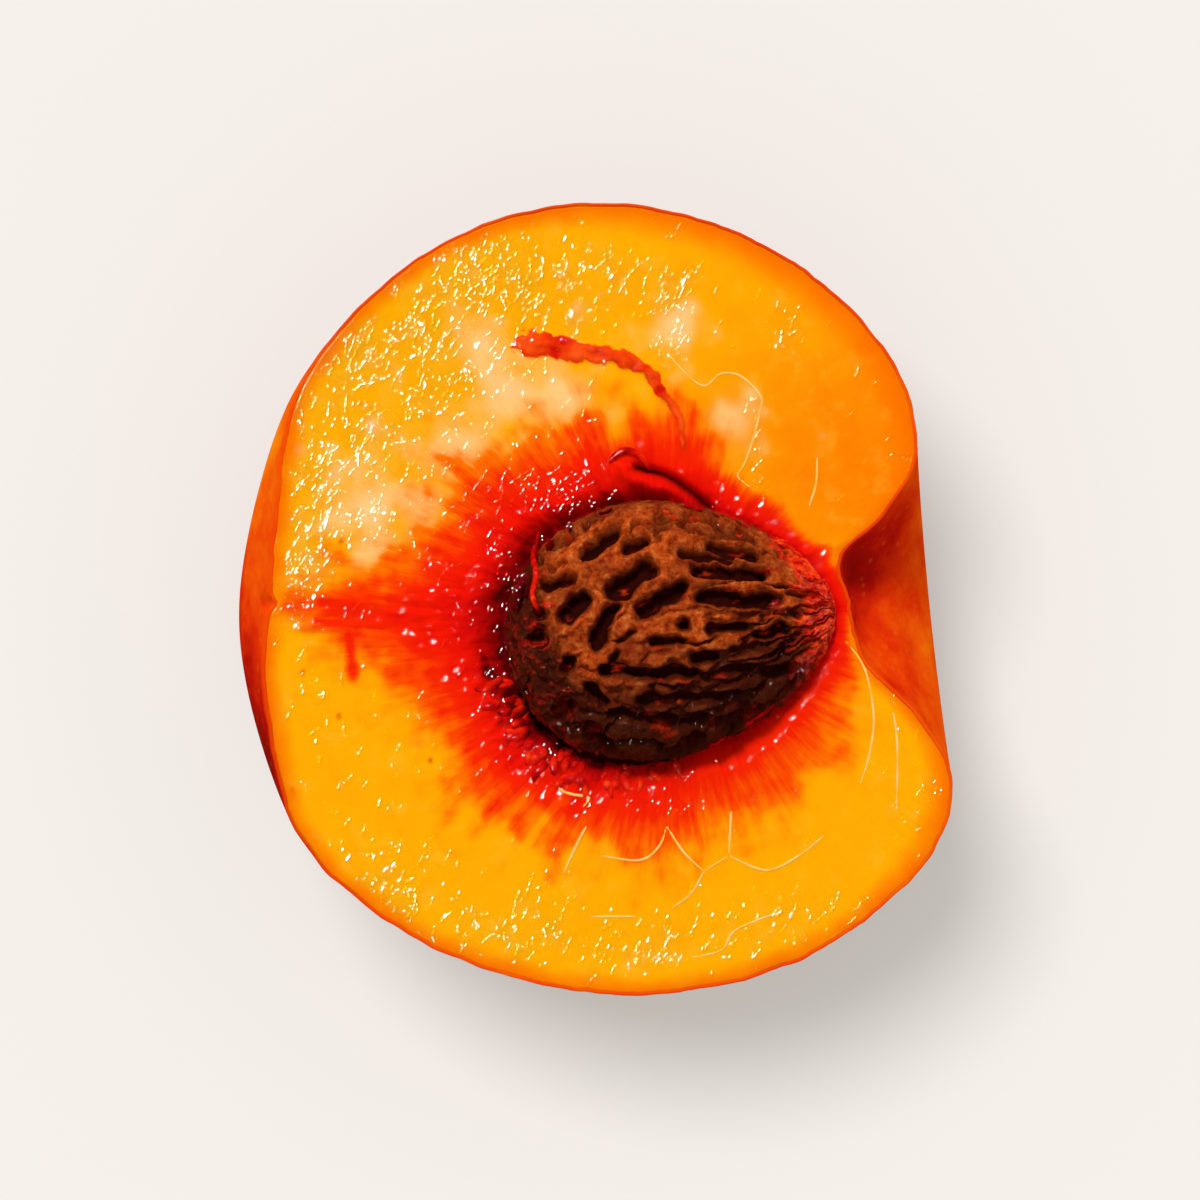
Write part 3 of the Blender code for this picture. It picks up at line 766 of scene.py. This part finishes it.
def peach_stone():
    """Lignified shell: dry and granular on the ridges, damp down in the furrows and painted nearly black
    there as shade.
    """
    material, shader, node = new_material(
        "furrowed_peach_stone", Roughness=0.75, IOR=1.45, Specular_IOR_Level=0.0, Coat_Roughness=0.05,
        Coat_IOR=1.33)
    place = node("TexCoord", out="Object")
    furrow, low, shreds = (
        node("Attribute", out="Fac", attribute_name=key) for key in ("furrow", "low", "shreds"))
    grain = node("TexNoise", {"Vector": place, "Scale": 1 / (0.7 * MM), "Detail": 6.0, "Roughness": 0.68})
    colour = node("ValToRGB", {"Fac": grain}, [
        (0.28, "56190a"), (0.42, "a2380f"), (0.56, "c6581e"), (0.74, "e08c4c")])
    patches = node("TexNoise", {"Vector": place, "Scale": 1 / (3.5 * MM), "Detail": 3.0})
    in_patch = node("MapRange", {"Value": patches, "From Min": 0.42, "From Max": 0.66, "To Max": 0.6})
    # Painted shade and damp darken the low side.
    low_damp_and_shade = node("MapRange", {"Value": low, "From Min": 0.15, "From Max": 0.9, "To Max": 0.92})
    # The furrows are painted darker towards their bottoms, as shade.
    furrow_damp_and_shade = node("MapRange", {"Value": furrow, "From Min": 0.08, "From Max": 0.62})

    # The torn flesh is drawn out along the stone in fibres, and on the low side it is darker with damp and
    # painted shade.
    drawn_out = node("Mapping", {"Vector": place, "Scale": (4.0, 1.0, 1.0)}, vector_type="TEXTURE")
    fibres = node("TexNoise", {"Vector": drawn_out, "Scale": 1 / (0.5 * MM), "Detail": 3.0})
    bright = node("ValToRGB", {"Fac": fibres}, [(0.35, "a80a08"), (0.48, "e41c08"), (0.64, "fb5018")])
    tissue_damp_and_shade = node("MapRange", {"Value": low, "From Min": 0.5, "From Max": 1.3, "To Max": 0.85})
    tissue = node("Mix", {0: tissue_damp_and_shade, 6: bright, 7: "5c070a"}, out=2, data_type="RGBA")
    for amount, over in ((in_patch, "6c2010"), (low_damp_and_shade, "300d08"), (furrow_damp_and_shade, "350c07"), (shreds, tissue)):
        colour = node("Mix", {0: amount, 6: colour, 7: over}, out=2, data_type="RGBA")

    # Juice has run down, so the low side is wet, and so is the torn flesh.
    run_down = node("MapRange", {"Value": low, "From Min": 0.3, "From Max": 0.9, "To Max": 0.2})
    wet = node("Math", {0: run_down, 1: shreds}, operation="MAXIMUM")
    rough = node("Bump", {"Height": grain, "Strength": 0.9, "Distance": 0.3 * MM})
    beads = node("TexNoise", {"Vector": place, "Scale": 1 / (0.5 * MM), "Detail": 1.0})
    beaded = node("Bump", {"Height": beads, "Strength": 1.0, "Distance": 0.2 * MM})
    set_inputs(shader, {"Base Color": colour, "Normal": rough, "Coat Normal": beaded, "Coat Weight": wet})
    return material


stone = finish_piece("stone_in_hollow", stone_mesh(), peach_stone(), "stone")


# ---------------------------------------------------------------------------------------------------------
# The strands: pale bundles of fibre that fed the fruit. The knife laid them bare, and they lie in the cut
# as thin soft threads, mostly on the side of the stem and under the stone.

STRANDS = [
    [(5.9, 21.8), (8.9, 19.0), (10.7, 20.0), (12.4, 19.8), (14.2, 18.0), (14.1, 16.5), (13.5, 14.1),
     (12.8, 12.1), (12.2, 10.9), (13.9, 9.6)],
    [(19.2, 12.6), (19.1, 10.3), (18.5, 8.3)],
    [(5.9, -20.0), (7.4, -22.3), (9.2, -24.0)],
    [(9.2, -24.0), (11.4, -22.6)],
    [(11.4, -22.6), (11.6, -18.5)],
    [(11.4, -22.6), (14.7, -23.9), (17.6, -22.6), (19.8, -20.8)],
    [(9.2, -24.0), (8.0, -26.0), (6.3, -27.3)],
    [(0.0, -22.6), (3.5, -23.0), (5.2, -21.8), (5.9, -20.0)],
    [(-1.0, -28.0), (3.2, -28.0)],
    [(7.9, -31.6), (10.7, -31.0), (12.0, -29.2), (15.8, -27.6)],
    [(-3.2, -24.1), (-1.9, -21.3), (-1.2, -20.0)],
    [(21.7, -3.6), (23.4, -6.1), (24.2, -10.3), (23.8, -13.7), (23.0, -16.3)],
    [(25.9, -9.7), (26.3, -13.1), (26.2, -18.7)],
    [(-3.9, -16.2), (-3.3, -16.9), (-2.3, -17.2), (-1.0, -17.5), (-1.5, -18.3)],
]
STRAND_RADIUS = 0.14


def surface_finder(piece):
    """A search tree of a finished piece, to lay other things on it."""
    return BVHTree.FromObject(piece, bpy.context.evaluated_depsgraph_get())


def laid_on(trees, x, y, lift):
    """The highest point of the given surfaces over (x, y) in mm, lifted off it, or None past their edges."""
    start = (Vector((x, y, 30.0)) + Vector(SEAT)) * MM
    hits = [tree.ray_cast(start, Vector((0, 0, -1)))[0] for tree in trees]
    hits = [hit for hit in hits if hit]
    return max(hits, key=lambda hit: hit.z) + Vector((0, 0, lift * MM)) if hits else None


def threads(name, material, radius, paths):
    """Round threads, tapered at both ends, through each path's points."""
    data = bpy.data.curves.new(name, "CURVE")
    data.dimensions = "3D"
    data.bevel_depth = radius * MM
    data.bevel_resolution = 2
    data.use_fill_caps = True
    for path, thickness in paths:
        spline = data.splines.new("POLY")
        spline.points.add(len(path) - 1)
        for k, (point, made) in enumerate(zip(path, spline.points)):
            made.co = (*point, 1.0)
            made.radius = thickness * (0.4 + 0.6 * math.sin(math.pi * k / (len(path) - 1)) ** 0.5)
    data.materials.append(material)
    piece = in_scene(name, data)
    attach(piece, "root")


def strand_fibre():
    """Vascular fibre: pale, soft and dull."""
    material, shader, node = new_material(
        "pale_strand_fibre", Roughness=0.6, IOR=1.36, Specular_IOR_Level=0.0)
    place = node("TexCoord", out="Object")
    uneven = node("TexNoise", {"Vector": place, "Scale": 1 / (1.5 * MM)})
    colour = node("ValToRGB", {"Fac": uneven}, [(0.35, "ffb63a"), (0.6, "ffca70")])
    set_inputs(shader, {"Base Color": colour})
    return material


draw = random.Random(11)
flesh_surface = [surface_finder(flesh)]
strand_paths = []
for line in STRANDS:
    curve = along(line, np.linspace(0, 1, 8 * len(line)))
    strand_paths.append(([laid_on(flesh_surface, x, y, draw.uniform(-0.1, -0.04)) for x, y in curve], 1.0))
threads("pale_strands", strand_fibre(), STRAND_RADIUS, strand_paths)


# ---------------------------------------------------------------------------------------------------------
# The shreds: torn red flesh that still hangs between the stone and the hollow. It is thickest below the
# blunt end, where the stone was pulled loose. One long strand lies over that end, and a flap curls up
# behind the stone.

SHRED_RADIUS = 0.2
# How many, from which heading to which in degrees, and how far out from the hollow in mm.
SHRED_GROUPS = [(44, 195, 250, 2.2), (8, 250, 275, 0.8)]
STRAND_OVER_END = [(-5.4, 6.0), (-5.9, 4.0), (-5.6, 2.2), (-5.9, 0.4), (-5.3, -1.2)]
CURLED_FLAP = [(0.8, 12.2), (1.5, 12.9), (2.3, 13.2), (3.3, 12.9), (4.0, 12.2), (4.4, 11.6)]


def wandering(trees, x, y, heading, length, lift):
    """A path over a surface that starts at (x, y) and wanders about its heading."""
    path = []
    steps = 8
    for _ in range(steps):
        point = laid_on(trees, x, y, lift)
        if point is None:
            break
        path.append(point)
        heading += draw.uniform(-0.35, 0.35)
        x += math.cos(heading) * length / steps
        y += math.sin(heading) * length / steps
    return path


def torn_red_flesh():
    """Shredded flesh: wet and blood-red, orange where it is thin."""
    material, shader, node = new_material(
        "torn_red_flesh", Roughness=0.5, IOR=1.36, Specular_IOR_Level=0.0, Coat_Weight=0.3,
        Coat_Roughness=0.06)
    place = node("TexCoord", out="Object")
    uneven = node("TexNoise", {"Vector": place, "Scale": 1 / (1.2 * MM), "Detail": 3.0})
    colour = node("ValToRGB", {"Fac": uneven}, [
        (0.3, "8c060a"), (0.45, "cc0c08"), (0.6, "e82008"), (0.75, "f04810")])
    set_inputs(shader, {"Base Color": colour})
    return material


half_surfaces = [*flesh_surface, surface_finder(stone)]
shred_paths = []
for count, low, high, spread in SHRED_GROUPS:
    for _ in range(count):
        heading = math.radians(draw.uniform(low, high))
        out = float(hollow_reach(np.array([heading]))[0]) + draw.uniform(-0.1, spread)
        x = STONE_CENTRE[0] + out * math.cos(heading)
        y = STONE_CENTRE[1] + out * math.sin(heading)
        heading += draw.uniform(-0.3, 0.3)
        path = wandering(flesh_surface, x, y, heading, draw.uniform(0.8, 2.4), -0.12)
        if len(path) > 3:
            shred_paths.append((path, draw.uniform(1.2, 2.4)))
curve = along(STRAND_OVER_END, np.linspace(0, 1, 30))
shred_paths.append(([laid_on(half_surfaces, x, y, 0.1) for x, y in curve], 1.4))
curve = along(CURLED_FLAP, np.linspace(0, 1, 24))
shred_paths.append(([laid_on(flesh_surface, x, y, 0.15) for x, y in curve], 1.7))
threads("red_shreds", torn_red_flesh(), SHRED_RADIUS, shred_paths)


# ---------------------------------------------------------------------------------------------------------
# The juice: where cells were cut or torn open it stands on the flesh in tiny flat drops that catch the
# light, thickest towards the blossom end and round the hollow.

# Radius in mm, then length, height and depth sunk in, each as a share of the radius.
DROP_RADIUS = 0.14
DROP_LENGTH = 1.7
DROP_HEIGHT = 0.08
DROP_SUNK = 0.05
# Torn cell walls lean this way and carry the drops, so most of them are tilted by about this much.
WALL_LEAN = Vector((-0.51, -0.86, 0.0))
WALL_TILT = math.radians(12)
WALL_TILT_SPREAD = math.radians(4)


def juice_places():
    """Where each drop stands, how wide it is and how it lies: short slanting rows of one to three."""
    made = []
    for middle_x, middle_y, half_x, half_y, groups in WET_PATCHES:
        for _ in range(groups):
            x = draw.gauss(middle_x, half_x)
            y = draw.gauss(middle_y, half_y)
            slant = GRAIN_LEAN + math.radians(draw.gauss(0, 22))
            for _ in range(draw.choice((1, 1, 2, 2, 3))):
                made.append((x, y, DROP_RADIUS * draw.uniform(0.4, 1.4), slant))
                gap = draw.uniform(0.25, 0.6)
                x += gap * math.cos(slant)
                y += gap * math.sin(slant)
    return made


def juice_mesh():
    """One small flattened ball for each drop, with the colours of the flesh that it stands on."""
    template = bpy.data.meshes.new("drop")
    made = bmesh.new()
    bmesh.ops.create_uvsphere(made, u_segments=8, v_segments=4, radius=1.0)
    made.to_mesh(template)
    made.free()
    places = np.array(juice_places())
    _, amounts, from_hollow = cut_surface(places[:, 0], places[:, 1])
    off = places[:, :2] - np.array(STONE_CENTRE)
    inside = skin_reach(np.arctan2(off[:, 1], off[:, 0])) - np.hypot(off[:, 0], off[:, 1])
    keep = (from_hollow > 0.1) & (inside > 0.7)
    bm = bmesh.new()
    kept = []
    for k in np.flatnonzero(keep):
        x, y, radius, slant = places[k]
        point = laid_on(flesh_surface, x, y, -DROP_SUNK * radius)
        if point is None:
            continue
        tilt = draw.gauss(WALL_TILT, WALL_TILT_SPREAD)
        size = (DROP_LENGTH * radius * MM, radius * MM, DROP_HEIGHT * radius * MM, 1)
        lean = Matrix.Rotation(tilt, 4, WALL_LEAN) @ Matrix.Rotation(slant, 4, "Z")
        place = Matrix.Translation(point) @ lean @ Matrix.Diagonal(size)
        template.transform(place)
        bm.from_mesh(template)
        template.transform(place.inverted())
        kept.append(k)
    corners = len(template.vertices)
    write_amounts(bm, {name: np.repeat(values[kept], corners) for name, values in amounts.items()})
    bpy.data.meshes.remove(template)
    return bm


finish_piece("juice_drops", juice_mesh(), peach_flesh("juice_on_flesh", 0.0, 0.01, 1.0))


# ---------------------------------------------------------------------------------------------------------
# The studio: a plain off-white floor, a soft window light from beyond the far shoulder, a small lamp that
# only makes the juice sparkle, and a pale surround. The camera looks straight down on the cut.

# The floor's size in metres, and how strongly it glows and the surround shines.
FLOOR_SIZE = 1.6
FLOOR_GLOW = 0.325
PALE_SURROUND = 0.5
DARK_WALLS = 0.02
# The camera's height over the cut, and what it takes in there, in mm.
CAMERA_HEIGHT = 450.0
VIEW_WIDTH = 106.1
SENSOR = 36.0


def studio_floor():
    bm = bmesh.new()
    bmesh.ops.create_grid(bm, x_segments=1, y_segments=1, size=FLOOR_SIZE / 2)
    mesh = bpy.data.meshes.new("floor")
    bm.to_mesh(mesh)
    bm.free()
    # A faint glow of its own keeps the board evenly pale, as if it were lit from below as well.
    material, _, _ = new_material(
        "matte_white_board", Base_Color="7d7c79", Roughness=0.9, Specular_IOR_Level=0.0,
        Emission_Color="fffef4", Emission_Strength=FLOOR_GLOW)
    mesh.materials.append(material)
    floor = in_scene("floor", mesh)
    return floor


def studio_sun(name, towards, softness, strength, colour, lit):
    """A far, soft lamp that stands in this direction and lights only the objects named."""
    data = bpy.data.lights.new(name, "SUN")
    data.angle = math.radians(softness)
    data.energy = strength
    data.color = linear(colour)[:3]
    lamp = in_scene(name, data)
    lamp.rotation_euler = Vector(towards).to_track_quat("Z", "Y").to_euler()
    lamp.light_linking.receiver_collection = bpy.data.collections.new(name + "_lights")
    for obj in lit:
        lamp.light_linking.receiver_collection.objects.link(obj)
    return lamp


def surround():
    """A pale surround that lights the scene but is darker in reflections, as in a studio with dark walls."""
    world = bpy.data.worlds.new("surround")
    world.use_nodes = True
    in_reflections = add_node(world, "LightPath", out="Is Glossy Ray")
    strength = add_node(
        world, "MapRange", {"Value": in_reflections, "To Min": PALE_SURROUND, "To Max": DARK_WALLS})
    set_inputs(world.node_tree.nodes["Background"], {"Color": "ffffff", "Strength": strength})
    bpy.context.scene.world = world


def camera_above():
    data = bpy.data.cameras.new("camera")
    data.sensor_width = SENSOR
    data.lens = SENSOR * CAMERA_HEIGHT / VIEW_WIDTH
    data.clip_start = 0.01
    camera = in_scene("camera", data)
    camera.location = (Vector(SEAT) + Vector((0, 0, CAMERA_HEIGHT))) * MM
    bpy.context.scene.camera = camera


floor = studio_floor()
surround()
half = [obj for obj in bpy.context.scene.objects if obj.type in {"MESH", "CURVE"} and obj != floor]
studio_sun("overhead", (-0.25, 0.34, 1.0), 22, 5.8, "fff7fc", [floor])
studio_sun("sky", (0.0, 0.0, 1.0), 110, 2.2, "ffffff", [floor])
window = studio_sun("window", (-0.16, 0.60, 0.785), 10, 2.3, "fffaf4", half)
window.visible_glossy = False
sparkle = studio_sun("sparkle", (-0.32, 0.19, 0.93), 9, 4.6, "fffcf4", half)
sparkle.visible_diffuse = False
camera_above()
bpy.context.scene.view_settings.view_transform = "Standard"
